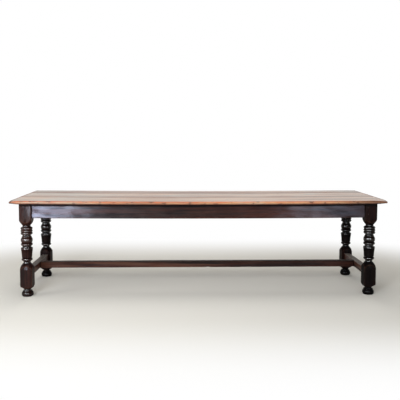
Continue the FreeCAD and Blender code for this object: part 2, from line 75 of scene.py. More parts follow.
class Wire:
    # one socket of a node tree: sums written with it add Math nodes

    def __init__(self, tree, socket=None):
        self.tree = tree
        self.socket = socket

    def node(self, kind, sockets=None, output=0, **settings):
        made = self.tree.nodes.new(kind)
        for name, value in settings.items():
            setattr(made, name, value)
        for key, value in (sockets or {}).items():
            if isinstance(value, Wire):
                self.tree.links.new(value.socket, made.inputs[key])
            else:
                made.inputs[key].default_value = value
        return Wire(self.tree, made.outputs[output] if len(made.outputs) else None)

    def then(self, kind, **sockets):
        # the next step in the making of a mesh
        return self.node(kind, {"Geometry": self, **sockets})

    def maths(self, operation, *values):
        return self.node("ShaderNodeMath", dict(enumerate(values)), operation=operation)

    __add__, __radd__ = straight("ADD"), reflected("ADD")
    __sub__, __rsub__ = straight("SUBTRACT"), reflected("SUBTRACT")
    __mul__, __rmul__ = straight("MULTIPLY"), reflected("MULTIPLY")
    __truediv__, __rtruediv__ = straight("DIVIDE"), reflected("DIVIDE")
    __pow__, __abs__ = straight("POWER"), straight("ABSOLUTE")
    atMost, atLeast = straight("MINIMUM"), straight("MAXIMUM")

    def clamped(self):
        return self.node("ShaderNodeClamp", {"Value": self})

    def eased(self, low, high):
        # 0 below low, 1 above high, smooth between
        ends = {"Value": self, "From Min": low, "From Max": high}
        return self.node("ShaderNodeMapRange", ends, interpolation_type="SMOOTHSTEP")

    def vector(self, operation, *values):
        return self.node("ShaderNodeVectorMath", dict(enumerate(values)), operation=operation)

    def part(self, axis):
        return self.node("ShaderNodeSeparateXYZ", {0: self}, axis)

    def joined(self, x, y, z):
        return self.node("ShaderNodeCombineXYZ", {0: x, 1: y, 2: z})

    def cloud(self, place, stretch, detail=4.0, rough=0.55, twist=0.0):
        # soft noise, 0 to 1, with its own scale along each axis
        spread = self.vector("MULTIPLY", place, stretch)
        sockets = {"Vector": spread, "Scale": 1.0, "Detail": detail, "Roughness": rough, "Distortion": twist}
        return self.node("ShaderNodeTexNoise", sockets)

    def patterns(self, place, look):
        # the noises of a look, in the order of its dictionary
        return [self.cloud(place, *values) for values in look["patterns"].values()]

    def painted(self, look, ground, layers):
        # the look's colours laid over its ground, each by its own share
        colour = look[ground]
        for label, share in layers:
            sockets = {0: share, 6: colour, 7: look[label]}
            colour = self.node("ShaderNodeMix", sockets, 2, data_type="RGBA")
        return colour

    def stored(self, *labels):
        # values that the mesh keeps for its finish
        return [self.node("ShaderNodeAttribute", output="Fac", attribute_name=label) for label in labels]

    def grain(self):
        return self.node("ShaderNodeAttribute", output="Vector", attribute_name="grain")


def paint(red, green, blue):
    # a colour as it is seen on screen, 0 to 255
    def linear(value):
        share = value / 255
        return share / 12.92 if share <= 0.04045 else ((share + 0.055) / 1.055) ** 2.4
    return (linear(red), linear(green), linear(blue), 1.0)


def newShading(name, kinds=bpy.data.materials):
    made = kinds.new(name)
    made.use_nodes = True
    made.node_tree.nodes.clear()
    return made, Wire(made.node_tree)


def roughnessAt(share, look):
    least, most = look["roughness"]
    return least + (most - least) * share


def closeFinish(wire, look, colour, roughness, height, polish):
    # the wood's shader: these vary, the rest is fixed
    lumps = {"Height": height, "Strength": look["bump"]["strength"], "Distance": look["bump"]["depth"]}
    sockets = {"Base Color": colour, "Roughness": roughness, "Coat Weight": polish,
               "Normal": wire.node("ShaderNodeBump", lumps)}
    sockets.update(look["polish"])
    surface = wire.node("ShaderNodeBsdfPrincipled", sockets)
    wire.node("ShaderNodeOutputMaterial", {"Surface": surface})


def growthRings(wire, grain, look):
    # rings round the heart of the tree, which runs along the grain
    drift = (wire.cloud(grain, (1.1, 7.0, 7.0), 3.0) - 0.5) * look["ringWander"]
    shifted = wire.vector("ADD", grain, wire.joined(0.0, drift, drift))
    waveRate = 20  # a wave texture turns by 20 radians over each unit
    sockets = {"Vector": shifted, "Scale": math.tau / (waveRate * look["ringSpacing"]),
               "Distortion": 1.4, "Detail": 2.0, "Detail Scale": 0.8}
    return wire.node("ShaderNodeTexWave", sockets, "Fac", wave_type="RINGS", wave_profile="SAW")


# dark stain of the frame
darkStain = {
    "deep": paint(18, 11, 10),
    "brown": paint(36, 20, 15),
    "red": paint(78, 38, 26),
    "bare": paint(126, 84, 62),  # where hands and feet have rubbed the stain off
    "bareShare": 0.6,
    "kicked": paint(116, 78, 60),  # pale streaks that shoes leave on the stretchers
    "paintedLightEnd": 0.12,  # how much more of them the left end has: painted light, the left end standing in more light
    "trodden": paint(112, 104, 96),  # grey wood on the rails where feet rest
    # also the colour of the painted shade under the top and on the legs in less light
    "grimeAndShade": paint(6, 4, 4),
    "ringSpacing": 0.0062,
    "ringWander": 0.03,
    "wearWidth": 0.007,
    "roughness": (0.34, 0.56),
    "sheen": (0.06, 0.60),  # least polish, and what rubbing adds to it
    "polish": {"IOR": 1.10, "Coat Roughness": 0.20, "Coat IOR": 1.40},
    "bump": {"strength": 0.4, "depth": 0.0012},
    # noise: scale along and across the grain, detail, roughness, twist
    "patterns": {
        "fibres": ((5.0, 300.0, 300.0), 3.0, 0.6),
        "pores": ((26.0, 900.0, 900.0), 2.0),
        "mottle": ((3.2, 13.0, 13.0), 5.0, 0.62, 0.6),
        "patina": ((1.0, 2.4, 2.4), 3.0),
        "streaks": ((1.6, 70.0, 70.0), 4.0, 0.6),
        "planed": ((9.0, 24.0, 24.0), 3.0, 0.5),  # the hand plane's uneven flats
        "kicks": ((1.3, 34.0, 34.0), 3.0, 0.6),
        "scuffs": ((18.0, 45.0, 45.0), 4.0, 0.65),
    },
    # where each of these sets in, and where it is full
    "starts": {
        "pores": (0.60, 0.68), "brown": (0.36, 0.62), "red": (0.40, 0.62), "kicked": (0.46, 0.64),
        "worn": (0.35, 1.3), "trodden": (0.93, 1.0), "underTopShade": (0.76, 0.92), "rubbed": (0.28, 0.70),
        "dull": (0.65, 1.3),
    },
}
# the legs have been polished more, and have gone darker
legStain = dict(darkStain, deep=paint(5, 3, 3), brown=paint(18, 10, 8), red=paint(60, 29, 22),
                bareShare=0.35, sheen=(0.03, 0.22),
                polish={"IOR": 1.08, "Coat Roughness": 0.06, "Coat IOR": 1.50})


def stainedWood(name, look):
    finish, wire = newShading(name)
    starts = look["starts"]
    grain = wire.grain()
    edge, crest, up, endGrain, turned = wire.stored("edgeDistance", "crest", "up", "endGrain", "turned")
    tone, dull, joint, along = wire.stored("tone", "dull", "joint", "along")
    rings = growthRings(wire, grain, look)
    fibres, pores, mottle, patina, streaks, planed, kicks, scuffs = wire.patterns(grain, look)
    pores = pores.eased(*starts["pores"])
    figure = (rings * 0.45 + fibres * 0.55 - endGrain * 0.25).clamped()
    reddened = (patina * 0.6 + streaks * 0.4).eased(*starts["red"])

    # wear, soiling and painted shade: the upper part of the aprons and of the legs' blocks, under the top, is
    # painted darker as shade
    # pale streaks, crowded towards the left end as painted light
    kicked = (kicks - along * look["paintedLightEnd"]).eased(*starts["kicked"]) * tone.atMost(0.6)
    worn = (1.0 - edge / look["wearWidth"] + (scuffs - 0.5) * 2.6).eased(*starts["worn"])
    worn = (worn + crest.atLeast(0.0) * (scuffs - 0.46).atLeast(0.0) * 2.0).clamped()
    trodden = up.eased(*starts["trodden"]) * tone * (tone * 0.5 + scuffs * 0.6)
    # painted shade under the overhang of the top, on the aprons and the legs' blocks
    underTopShade = up.eased(*starts["underTopShade"]) * (1.0 - tone)
    # soiling in hollows and joints, the painted shade under the top, and the legs' painted shade (dull) with
    # their scuffed feet
    dirtAndShade = ((0.0 - crest).atLeast(0.0) * 0.7 + underTopShade * 0.95 + dull * 0.6 + joint).clamped()
    colour = wire.painted(look, "deep", [
        ("brown", (mottle * 0.5 + streaks * 0.5).eased(*starts["brown"])),
        ("red", figure * reddened * 0.8),
        ("deep", pores * 0.55),
        ("kicked", kicked * (0.25 + fibres * 0.5)),
        ("bare", worn * (0.2 + fibres * 0.6) * look["bareShare"]),
        ("trodden", trodden),
        ("grimeAndShade", dirtAndShade),
    ])

    # worn and soiled places, and the painted shade, have lost their polish; beads and grooves still have it
    leastSheen, addedSheen = look["sheen"]
    rubbed = (mottle * 0.5 + planed * 0.5).eased(*starts["rubbed"]) * addedSheen
    polish = leastSheen + rubbed * (1.0 - pores * 0.5 - tone * 0.5) - worn * 0.3 - trodden * 0.5
    polish = polish + turned * (abs(crest) - 0.45).atLeast(0.0) * 1.6
    polish = (polish - dirtAndShade * (0.8 - turned * 0.6)).clamped() * (1.0 - dull.eased(*starts["dull"]) * 0.9)
    roughness = roughnessAt(mottle * 0.6 + streaks * 0.5, look) + pores * 0.1 + worn * 0.06
    height = fibres * 0.30 + rings * 0.2 - pores * 0.5 + mottle * 0.7 + planed * 2.0 + streaks * 0.5
    closeFinish(wire, look, colour, roughness, height * (1.0 - turned * 0.75), polish)
    return finish


# waxed planks of the top
waxedPlank = {
    "light": paint(200, 152, 104),
    "middle": paint(142, 101, 76),
    "dark": paint(86, 52, 38),
    "grey": paint(150, 146, 130),  # old bleached wood
    "streak": paint(138, 66, 46),  # reddish bands of the heartwood
    "bare": paint(176, 84, 50),  # rubbed edges
    "seam": paint(112, 46, 36),
    # painted shade on the lower part of the edges, and the darker underside
    "under": paint(58, 38, 30),
    "knot": paint(52, 30, 23),
    "ringSpacing": 0.011,
    "ringWander": 0.05,
    "wearWidth": 0.016,
    "seamWaver": 0.014,
    "knotScale": (2.6, 7.5, 7.5),
    "redShift": (5.3, 2.1, 7.7),  # the red bands are drawn from another part of the noise
    "redBands": ((0.8, 26.0, 26.0), 4.0, 0.6),
    "roughness": (0.30, 0.48),
    "polish": {"IOR": 1.42, "Coat Roughness": 0.28, "Coat IOR": 1.45},
    "bump": {"strength": 0.30, "depth": 0.0010},
    "patterns": {
        "fibres": ((4.0, 260.0, 260.0), 3.0, 0.6),
        "pores": ((22.0, 800.0, 800.0), 2.0),
        "bands": ((1.0, 13.0, 13.0), 4.0, 0.6),
        "stains": ((1.6, 4.0, 4.0), 5.0, 0.6, 0.8),
        "scuffs": ((10.0, 40.0, 40.0), 4.0, 0.65),
        "handled": ((1.3, 5.0, 5.0), 3.0),
        "nicks": ((20.0, 44.0, 44.0), 2.0),
    },
    "starts": {
        "pores": (0.60, 0.68), "knots": (0.035, 0.11), "light": (0.34, 0.68), "redBands": (0.50, 0.68),
        "grey": (0.42, 0.64), "worn": (0.1, 1.0), "handled": (0.30, 0.62), "rightShade": (0.62, 0.95),
        "tips": (0.970, 0.998), "offEdge": (0.008, 0.022), "offSeam": (0.002, 0.022),
        "nicks": (0.57, 0.65), "offNicks": (0.010, 0.018), "upperSide": (0.02, 0.60), "waxed": (0.32, 0.58),
    },
}


def plankWood(name, look):
    finish, wire = newShading(name)
    starts = look["starts"]
    grain = wire.grain()
    edge, endGrain, tone = wire.stored("edgeDistance", "endGrain", "tone")
    up, outer, along = wire.stored("up", "outer", "along")
    rings = growthRings(wire, grain, look)
    fibres, pores, bands, stains, scuffs, handled, nicks = wire.patterns(grain, look)
    pores = pores.eased(*starts["pores"])
    redBands = wire.cloud(wire.vector("ADD", grain, look["redShift"]), *look["redBands"])
    redBands = redBands.eased(*starts["redBands"])
    knotPlace = {"Vector": wire.vector("MULTIPLY", grain, look["knotScale"]), "Scale": 1.0}
    knots = wire.node("ShaderNodeTexVoronoi", knotPlace, "Distance")
    knots = 1.0 - (knots + (fibres - 0.5) * 0.06).eased(*starts["knots"])

    # outer edges: rubbed down to red wood, but darker towards the right end, which is painted shade, and at
    # both tips
    worn = (1.0 - edge / look["wearWidth"] + (scuffs - 0.5) * 1.6).eased(*starts["worn"]) * outer
    ends = along.eased(*starts["rightShade"]).atLeast(abs(along).eased(*starts["tips"]))
    # painted shade towards the right end, and the dark tips
    shadeAndTips = ends * outer * (1.0 - edge.eased(*starts["offEdge"]))
    handled = handled.eased(*starts["handled"])
    seamSide = (edge + (scuffs - 0.5) * look["seamWaver"]).eased(*starts["offSeam"])
    seamLine = (1.0 - seamSide) * (1.0 - outer)
    nicks = nicks.eased(*starts["nicks"]) * (1.0 - edge.eased(*starts["offNicks"])) * outer
    colour = wire.painted(look, "middle", [
        ("light", (bands + (tone - 0.5) * 0.5).eased(*starts["light"])),
        ("streak", redBands * (0.25 + tone * 0.5) * (0.5 + fibres)),
        ("dark", (rings ** 2.0) * (0.25 + fibres * 0.5)),
        ("grey", stains.eased(*starts["grey"]) * (0.8 - tone * 0.45)),
        ("dark", (pores * 0.5 + endGrain * 0.35).clamped()),
        ("bare", worn * (0.5 + fibres * 0.4 + handled * 0.2) * (1.0 - shadeAndTips * 0.6)),
        ("dark", shadeAndTips * 0.85),
        ("seam", seamLine * 0.8),
        ("dark", nicks * 0.9),
        # painted shade low on the edges, and the darker underside
        ("under", 1.0 - up.eased(*starts["upperSide"])),
        ("knot", knots * 0.85),
    ])
    waxed = (bands * 0.7 + stains * 0.3 - redBands * 0.15).eased(*starts["waxed"])
    wax = 0.18 + waxed * 0.55 + (tone - 0.5) * 0.5 - seamLine * 0.7 - nicks * 0.5 - worn * 0.9
    roughness = roughnessAt(stains * 0.7 + bands * 0.4, look) + pores * 0.12
    roughness = roughness + seamLine * 0.2 + worn * 0.2
    height = fibres * 0.4 + rings * 0.25 - pores * 0.5 + stains * 0.5 - knots * 0.3
    closeFinish(wire, look, colour, roughness, height, wax.clamped())
    return finish


# bare wood that is never seen from a chair
bareWood = {
    "roughness": (0.62, 0.82),
    "ringSpacing": 0.009,
    "ringWander": 0.04,
    "polish": {"IOR": 1.45},
    "bump": {"strength": 0.5, "depth": 0.0012},
    "patterns": {
        "fibres": ((6.0, 280.0, 280.0), 3.0, 0.6),
        "stains": ((2.0, 8.0, 8.0), 4.0, 0.6),
        "sawMarks": ((240.0, 6.0, 6.0), 2.0),
    },
}
bearerWood = dict(bareWood, light=paint(150, 112, 80), dark=paint(92, 64, 46))
tongueWood = dict(bareWood, light=paint(190, 150, 108), dark=paint(140, 102, 70))


def roughSawn(name, look, stored):
    # the joiner's own pieces have no stored grain, and theirs runs along X
    finish, wire = newShading(name)
    grain = wire.grain() if stored else wire.node("ShaderNodeTexCoord", output="Object")
    rings = growthRings(wire, grain, look)
    fibres, stains, sawMarks = wire.patterns(grain, look)
    figure = (rings * 0.35 + fibres * 0.4 + stains * 0.5 - 0.1).clamped()
    colour = wire.painted(look, "light", [("dark", figure)])
    closeFinish(wire, look, colour, roughnessAt(stains, look), fibres * 0.5 + sawMarks * 0.7, 0.0)
    return finish


frameFinish = stainedWood("darkStainedWood", darkStain)
legFinish = stainedWood("turnedLegWood", legStain)
topFinish = plankWood("waxedPlankWood", waxedPlank)
bearerFinish = roughSawn("bearerWood", bearerWood, True)
tongueFinish = roughSawn("tongueWood", tongueWood, False)
print("finishes mixed:", len(bpy.data.materials))


def newTree(name, inputs):
    tree = bpy.data.node_groups.new(name, "GeometryNodeTree")
    tree.interface.new_socket("Piece", in_out="OUTPUT", socket_type="NodeSocketGeometry")
    for kind, labels in inputs.items():
        for label in labels:
            tree.interface.new_socket(label, in_out="INPUT", socket_type="NodeSocket" + kind)
    wire = Wire(tree)

    def given(label):
        return wire.node("NodeGroupInput", output=label)
    return tree, wire, given


def storeValues(mesh, values):
    for label, value in values.items():
        isVector = isinstance(value, Wire) and value.socket.type == "VECTOR"
        kind = "FLOAT_VECTOR" if isVector else "FLOAT"
        sockets = {"Geometry": mesh, "Name": label, "Value": value}
        mesh = mesh.node("GeometryNodeStoreNamedAttribute", sockets, data_type=kind)
    return mesh


def readValue(wire, label, kind):
    return wire.node("GeometryNodeInputNamedAttribute", {"Name": label}, data_type=kind)


def movePoints(mesh, place):
    # the new place is stored too, because the other values are worked out from the old one
    mesh = storeValues(mesh, {"place": place})
    mesh = mesh.then("GeometryNodeSetPosition", Position=readValue(mesh, "place", "FLOAT_VECTOR"))
    return mesh.then("GeometryNodeRemoveAttribute", Name="place")


def closeTree(mesh, finish):
    mesh = mesh.then("GeometryNodeSetShadeSmooth").then("GeometryNodeRealizeInstances")
    mesh = mesh.then("GeometryNodeSetMaterial", Material=finish)
    mesh.node("NodeGroupOutput", {0: mesh})


def addObject(name, data):
    piece = bpy.data.objects.new(name, data)
    scene.collection.objects.link(piece)
    return piece


def newMesh(name, points, faces=()):
    mesh = bpy.data.meshes.new(name)
    mesh.from_pydata(points, [], faces)
    return mesh


def growPiece(name, tree, values, sharpAngle=38):
    # runs the tree and keeps what it makes as a plain mesh
    piece = addObject(name, bpy.data.meshes.new(name))
    shape = piece.modifiers.new("shape", "NODES")
    shape.node_group = tree
    for socket in tree.interface.items_tree:
        if socket.in_out == "INPUT":
            shape[socket.identifier] = values[socket.name]
    graph = bpy.context.evaluated_depsgraph_get()
    grown = piece.evaluated_get(graph)
    mesh = bpy.data.meshes.new_from_object(grown, preserve_all_data_layers=True, depsgraph=graph)
    piece.modifiers.clear()
    piece.data = mesh
    mesh.set_sharp_from_angle(angle=math.radians(sharpAngle))
    return piece


def seat(piece, slot, *nodes):
    # the piece stands for these pieces of the joiner's model
    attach(piece, "root")
    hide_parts(*nodes)


Box = namedtuple("Box", "low high middle size")


def boxOf(node):
    low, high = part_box(node)
    return Box(low, high, (low + high) / 2, high - low)


def rubAway(mesh, dents):
    # pushes the surface in near each place, most at its middle
    for dent in dents:
        middle = Vector(dent["place"])
        push = Vector(dent["push"])
        for vertex in mesh.vertices:
            offset = vertex.co - middle
            away = math.sqrt(sum((step / reach) ** 2 for step, reach in zip(offset, dent["reach"])))
            if away < 1:
                ease = 1 - away
                vertex.co += push * (ease * ease * (3 - 2 * ease))


# how boards wear, and how far the old frame has sunk in its middle
boardWear = {
    "edgeCells": 3,  # of the mesh, across each arris
    "patterns": {"rub": ((9.0, 12.0, 12.0), 3.0), "dip": ((2.2, 6.0, 6.0), 3.0)},
    "rubbed": (0.36, 0.74),
    "lowerArris": (0.05, 0.25),  # shares of the height; nobody rubs it
    "jointGrime": (0.005, 0.009),  # distance from the joint at each end
    "outerArris": (0.0030, 0.0042),  # on the outside of the top, where it is wider
}
settling = {"drop": 0.006, "reach": 1.315}
cutLabels = ("Cuts Along", "Cuts Across", "Cuts Up")
arrisLabels = ("Arris Front Top", "Arris Front Bottom", "Arris Back Top", "Arris Back Bottom")


def boardTree():
    # a board with rounded, unevenly worn arrises: built along X, turned, then set in its place
    tree, wire, given = newTree("wornBoard", {
        "Vector": ("Middle", "Size", "Figure"), "Int": cutLabels, "Material": ("Finish",),
        "Float": arrisLabels + ("Uneven Arris", "Hollows", "Quarter Turn", "Sag", "Sag Reach", "Tone",
                                "Dark Below"),
    })
    cuts = [given(label) for label in cutLabels]
    frontTop, frontBottom, backTop, backBottom = [given(label) for label in arrisLabels]
    counts = {"Size": (2.0, 2.0, 2.0), "Vertices X": cuts[0], "Vertices Y": cuts[1], "Vertices Z": cuts[2]}
    block = wire.node("GeometryNodeMeshCube", counts)
    spot = wire.node("GeometryNodeInputPosition")
    half = wire.vector("MULTIPLY", given("Size"), (0.5, 0.5, 0.5))
    room = frontTop.atLeast(frontBottom).atLeast(backTop).atLeast(backBottom) + given("Uneven Arris")
    lines = []
    for axis in range(3):
        # the outer cells on each axis share the width of the arris
        u = spot.part(axis)
        flat = 1.0 - 2.0 * boardWear["edgeCells"] / (cuts[axis] - 1.0)
        inner = (abs(u) / flat).atMost(1.0)
        outer = ((abs(u) - flat) / (1.0 - flat)).atLeast(0.0)
        reach = inner * (half.part(axis) - room) + outer * room
        lines.append(reach * wire.maths("SIGN", u))
    boxed = wire.joined(*lines)
    grain = wire.vector("ADD", boxed, given("Figure"))
    rub, dip = wire.patterns(grain, boardWear)

    # arrises: the box is cut back to a core, and rounded out from it again
    share = wire.vector("DIVIDE", boxed, half)
    back = share.part(1) * 0.5 + 0.5
    up = share.part(2) * 0.5 + 0.5
    top = frontTop * (1.0 - back) + backTop * back
    bottom = frontBottom * (1.0 - back) + backBottom * back
    cleanRadius = top * up + bottom * (1.0 - up)
    radius = cleanRadius + given("Uneven Arris") * rub.eased(*boardWear["rubbed"])
    limit = wire.vector("SUBTRACT", half, radius)
    lowLimit = wire.vector("MULTIPLY", limit, (-1.0, -1.0, -1.0))
    core = wire.vector("MAXIMUM", wire.vector("MINIMUM", boxed, limit), lowLimit)
    outward = wire.vector("NORMALIZE", wire.vector("SUBTRACT", boxed, core))
    depth = radius - dip * given("Hollows")
    shaped = wire.vector("ADD", core, wire.vector("MULTIPLY", outward, depth))

    # its place, and the sag
    turn = {"Vector": shaped, "Angle": given("Quarter Turn") * (math.pi / 2)}
    turned = wire.node("ShaderNodeVectorRotate", turn, rotation_type="Z_AXIS")
    placed = wire.vector("ADD", turned, given("Middle"))
    fromMiddle = placed.part(0) / given("Sag Reach")
    drop = (1.0 - fromMiddle * fromMiddle).atLeast(0.0) * given("Sag")
    placed = wire.vector("SUBTRACT", placed, wire.joined(0.0, 0.0, drop))

    # the second smallest distance to a face is the distance to the nearest arris
    gaps = [half.part(axis) - abs(boxed.part(axis)) for axis in range(3)]
    edge = gaps[0].atMost(gaps[1]).atLeast(gaps[0].atLeast(gaps[1]).atMost(gaps[2]))
    edge = edge + given("Dark Below") * (1.0 - up.eased(*boardWear["lowerArris"]))
    mesh = storeValues(block, {
        "grain": grain, "edgeDistance": edge, "tone": given("Tone"), "up": up, "along": share.part(0),
        "endGrain": abs(outward.part(0)) ** 4.0,
        "joint": 1.0 - gaps[0].eased(*boardWear["jointGrime"]),
        "outer": cleanRadius.eased(*boardWear["outerArris"]),
    })
    closeTree(movePoints(mesh, placed), given("Finish"))
    return tree


wornBoard = boardTree()


def makeBoard(node, look, size, finish, slot, figure):
    values = {
        "Middle": tuple(boxOf(node).middle), "Size": tuple(size), "Quarter Turn": look.get("turn", 0.0),
        "Uneven Arris": look["unevenArris"], "Hollows": look["hollows"],
        "Sag": settling["drop"] if look.get("sags") else 0.0, "Sag Reach": settling["reach"],
        "Figure": figure, "Tone": look.get("tone", 0.5),
        "Dark Below": look.get("darkBelow", 0.0), "Finish": finish,
    }
    values.update(zip(cutLabels + arrisLabels, look["cuts"] + look["arris"]))
    piece = growPiece(node + "_wood", wornBoard, values)
    rubAway(piece.data, look.get("dents", []))
    seat(piece, slot, node)


# the three planks of the top, whose front corners are rounded by knocks from above and from below
topLook = {
    "cuts": (270, 24, 9),
    "unevenArris": 0.0022,
    "hollows": 0.0007,
    "sags": True,
    "planks": {
        "front": {"arris": (0.0050, 0.0050, 0.0025, 0.0015), "tone": 0.62, "figure": (3.1, 0.16, 0.09)},
        "middle": {"arris": (0.0025, 0.0015, 0.0025, 0.0015), "tone": 0.55, "figure": (9.4, -0.06, 0.12)},
        "back": {"arris": (0.0025, 0.0015, 0.0050, 0.0050), "tone": 0.34, "figure": (17.7, -0.14, -0.07)},
    },
    "knock": {"reach": (0.075, 0.060, 0.020), "fromAbove": -0.005, "fromBelow": 0.006},
}


def cornerKnocks(box, knock):
    for end in (-1, 1):
        for level, lift in ((box.high.z, knock["fromAbove"]), (box.low.z, knock["fromBelow"])):
            place = (end * box.size.x / 2, box.low.y, level)
            yield {"place": place, "reach": knock["reach"], "push": (0.0, 0.0, lift)}


for side, plank in topLook["planks"].items():
    box = boxOf("top_plank_" + side)
    look = dict(topLook, **plank)
    if side == "front":
        look["dents"] = list(cornerKnocks(box, topLook["knock"]))
    makeBoard("top_plank_" + side, look, box.size, topFinish, "top_wood", plank["figure"])
print("planks laid:", len(topLook["planks"]))


def makeRail(node, look, reach, figure):
    # runs between two other pieces, and is tucked a little into both
    size = boxOf(node).size
    thickness = size.x if look.get("turn") else size.y
    railSize = (2 * (reach + look["tuck"]), thickness, size.z)
    makeBoard(node, look, railSize, frameFinish, "frame_wood", figure)


# aprons between the upper blocks of the legs
apronLook = {"tuck": 0.004, "arris": (0.001, 0.002, 0.001, 0.002), "unevenArris": 0.0025,
             "hollows": 0.0008, "tone": 0.0, "darkBelow": 0.02}
longApron = dict(apronLook, cuts=(230, 9, 16), sags=True)
shortApron = dict(apronLook, cuts=(60, 9, 16), turn=1.0)
innerX = boxOf("leg_front_right").low.x
innerY = boxOf("leg_back_left").low.y
makeRail("apron_front", longApron, innerX, (5.2, 0.09, 0.05))
makeRail("apron_back", longApron, innerX, (12.8, -0.08, 0.07))
makeRail("apron_left", shortApron, innerY, (21.3, 0.07, 0.06))
makeRail("apron_right", shortApron, innerY, (26.9, -0.09, 0.04))
print("aprons fitted")


# stretchers: feet have rounded their upper arrises, and hollowed the inner ones of the end rails
stretcherLook = {
    "tuck": 0.004, "arris": (0.004, 0.002, 0.004, 0.002), "unevenArris": 0.004, "hollows": 0.0012,
    "tone": 1.0, "darkBelow": 0.02,
    "footHollow": {"at": 0.14, "reach": (0.030, 0.125, 0.030), "depth": 0.007},
    "chip": {"at": 0.080, "reach": (0.024, 0.012, 0.012), "push": (0.0, 0.005, 0.007)},
}
endStretcher = dict(stretcherLook, cuts=(90, 12, 12), turn=1.0)
longStretcher = dict(stretcherLook, cuts=(380, 12, 12), tone=0.5)


def makeEndStretcher(node, end, figure):
    box = boxOf(node)
    hollow = stretcherLook["footHollow"]
    innerFace = box.middle.x - end * box.size.x / 2
    rubbed = {"place": (innerFace, hollow["at"], box.high.z), "reach": hollow["reach"],
              "push": (end * hollow["depth"], 0.0, -hollow["depth"])}
    makeRail(node, dict(endStretcher, dents=[rubbed]), innerY, figure)


makeEndStretcher("end_stretcher_left", -1, (31.0, 0.06, 0.08))
makeEndStretcher("end_stretcher_right", 1, (36.4, -0.07, 0.05))
endRail = boxOf("end_stretcher_right")
chip = stretcherLook["chip"]
lowEdge = boxOf("long_stretcher").low
longStretcher["dents"] = [dict(chip, place=(chip["at"], lowEdge.y, lowEdge.z))]
makeRail("long_stretcher", longStretcher, endRail.low.x, (43.5, 0.05, 0.07))
print("stretchers fitted")


# bearers under the top
bearerLook = {"cuts": (60, 10, 10), "arris": (0.001, 0.002, 0.001, 0.002), "unevenArris": 0.002,
              "hollows": 0.001, "turn": 1.0, "sags": True}
bearerFigures = {"cross_bearer_left": (51.2, 0.05, 0.04), "cross_bearer_centre": (55.1, -0.04, 0.06),
                 "cross_bearer_right": (59.6, 0.03, -0.05)}
for node, figure in bearerFigures.items():
    size = boxOf(node).size
    makeBoard(node, bearerLook, (size.y, size.x, size.z), bearerFinish, "bearer_wood", figure)
print("bearers housed:", len(bearerFigures))


# the turned legs, from the floor up: each member's length, the diameter where it ends and, for a bead
# or a hollow, the diameter half-way
turnedLeg = {
    "base": 0.076,
    "foot": {
        "bun": (0.040, 0.072, 0.092),
        "foot bead": (0.007, 0.061, 0.074),
        "ankle": (0.012, 0.057, 0.053),
    },
    "lowerShoulder": {"length": 0.028, "crown": 0.0006},
    "lowerBlock": 0.123,
    "dome": {"length": 0.050, "crown": 0.0008, "top": 0.068},
    "shaft": {
        "neck": (0.024, 0.074, 0.056),
        "calf ring": (0.017, 0.074, 0.086),
        "groove in": (0.0035, 0.064, None),
        "groove out": (0.0035, 0.079, None),
        "vase": (0.061, 0.090, 0.0821),
        "line in": (0.0017, 0.0874, None),
        "line out": (0.0017, 0.090, None),
        "vase rim": (0.0146, 0.086, 0.092),
        "waist": (0.015, 0.074, 0.068),
        "ring": (0.0215, 0.074, 0.092),
        "ball": (0.047, 0.072, 0.092),
        "collar": (0.006, 0.072, 0.075),
        "throat": (0.0132, 0.078, 0.064),
        "lower bead": (0.0196, 0.078, 0.092),
        "middle bead": (0.0196, 0.078, 0.092),
        "upper bead": (0.0196, 0.078, 0.092),
        "upper neck": (0.0145, 0.062, 0.063),
    },
    "upperShoulder": {"length": 0.053, "crown": 0.0006},
    "swing": 0.06976,  # the lathe's reach past the block's corners
    # of the leg's tree; the foot is scuffed up to its height
    "inputs": {"Columns": 128, "Arris": 0.003, "Uneven Arris": 0.003, "Wobble": 0.0005,
               "Dull Foot": 1.0, "Foot Height": 0.075},
    "rubScale": (7.0, 7.0, 26.0),  # of the noise along the arrises
    "rubbed": (0.38, 0.75),
    "wobbleScale": (0.6, 0.6, 14.0),
    "rowsInBead": 10,
    "rowsInBlock": 14,
    "blockMargin": 0.003,  # from a shoulder to the first row of the block
    # dull: painted shade on the legs that stand in less light, darker and with less polish
    "corners": {
        "front_left": {"Figure": (61.0, 0.05, 0.04), "Dull": 0.0},
        "front_right": {"Figure": (67.3, -0.04, 0.05), "Dull": 0.7},
        "back_left": {"Figure": (73.9, 0.06, -0.03), "Dull": 0.85},
        "back_right": {"Figure": (79.2, -0.05, -0.04), "Dull": 0.95},
    },
    "dullBelow": 0.03,
}
# how wear sees the outline: crest is 1 on a proud bead and below 0 in a seam, edge is metres to an arris
turnedWear = {"proudBead": 0.12, "seam": -0.45, "cut": -0.5, "base": -0.4, "noEdge": 0.05, "blockEdge": 0.02}


def arcThrough(start, finish, bulge):
    # centre and radius of the arc that bows to the right of the way from start to finish
    way = Vector(finish) - Vector(start)
    right = Vector((way.y, -way.x)).normalized()
    radius = (way.length_squared / 4 + bulge * bulge) / (2 * bulge)
    return (Vector(start) + Vector(finish)) / 2 - right * (radius - bulge), radius


# reach: how far a row goes out to the block; the arc is its shoulder's
Row = namedtuple("Row", "radius height crest edge reach arcAcross arcUp arcRadius")


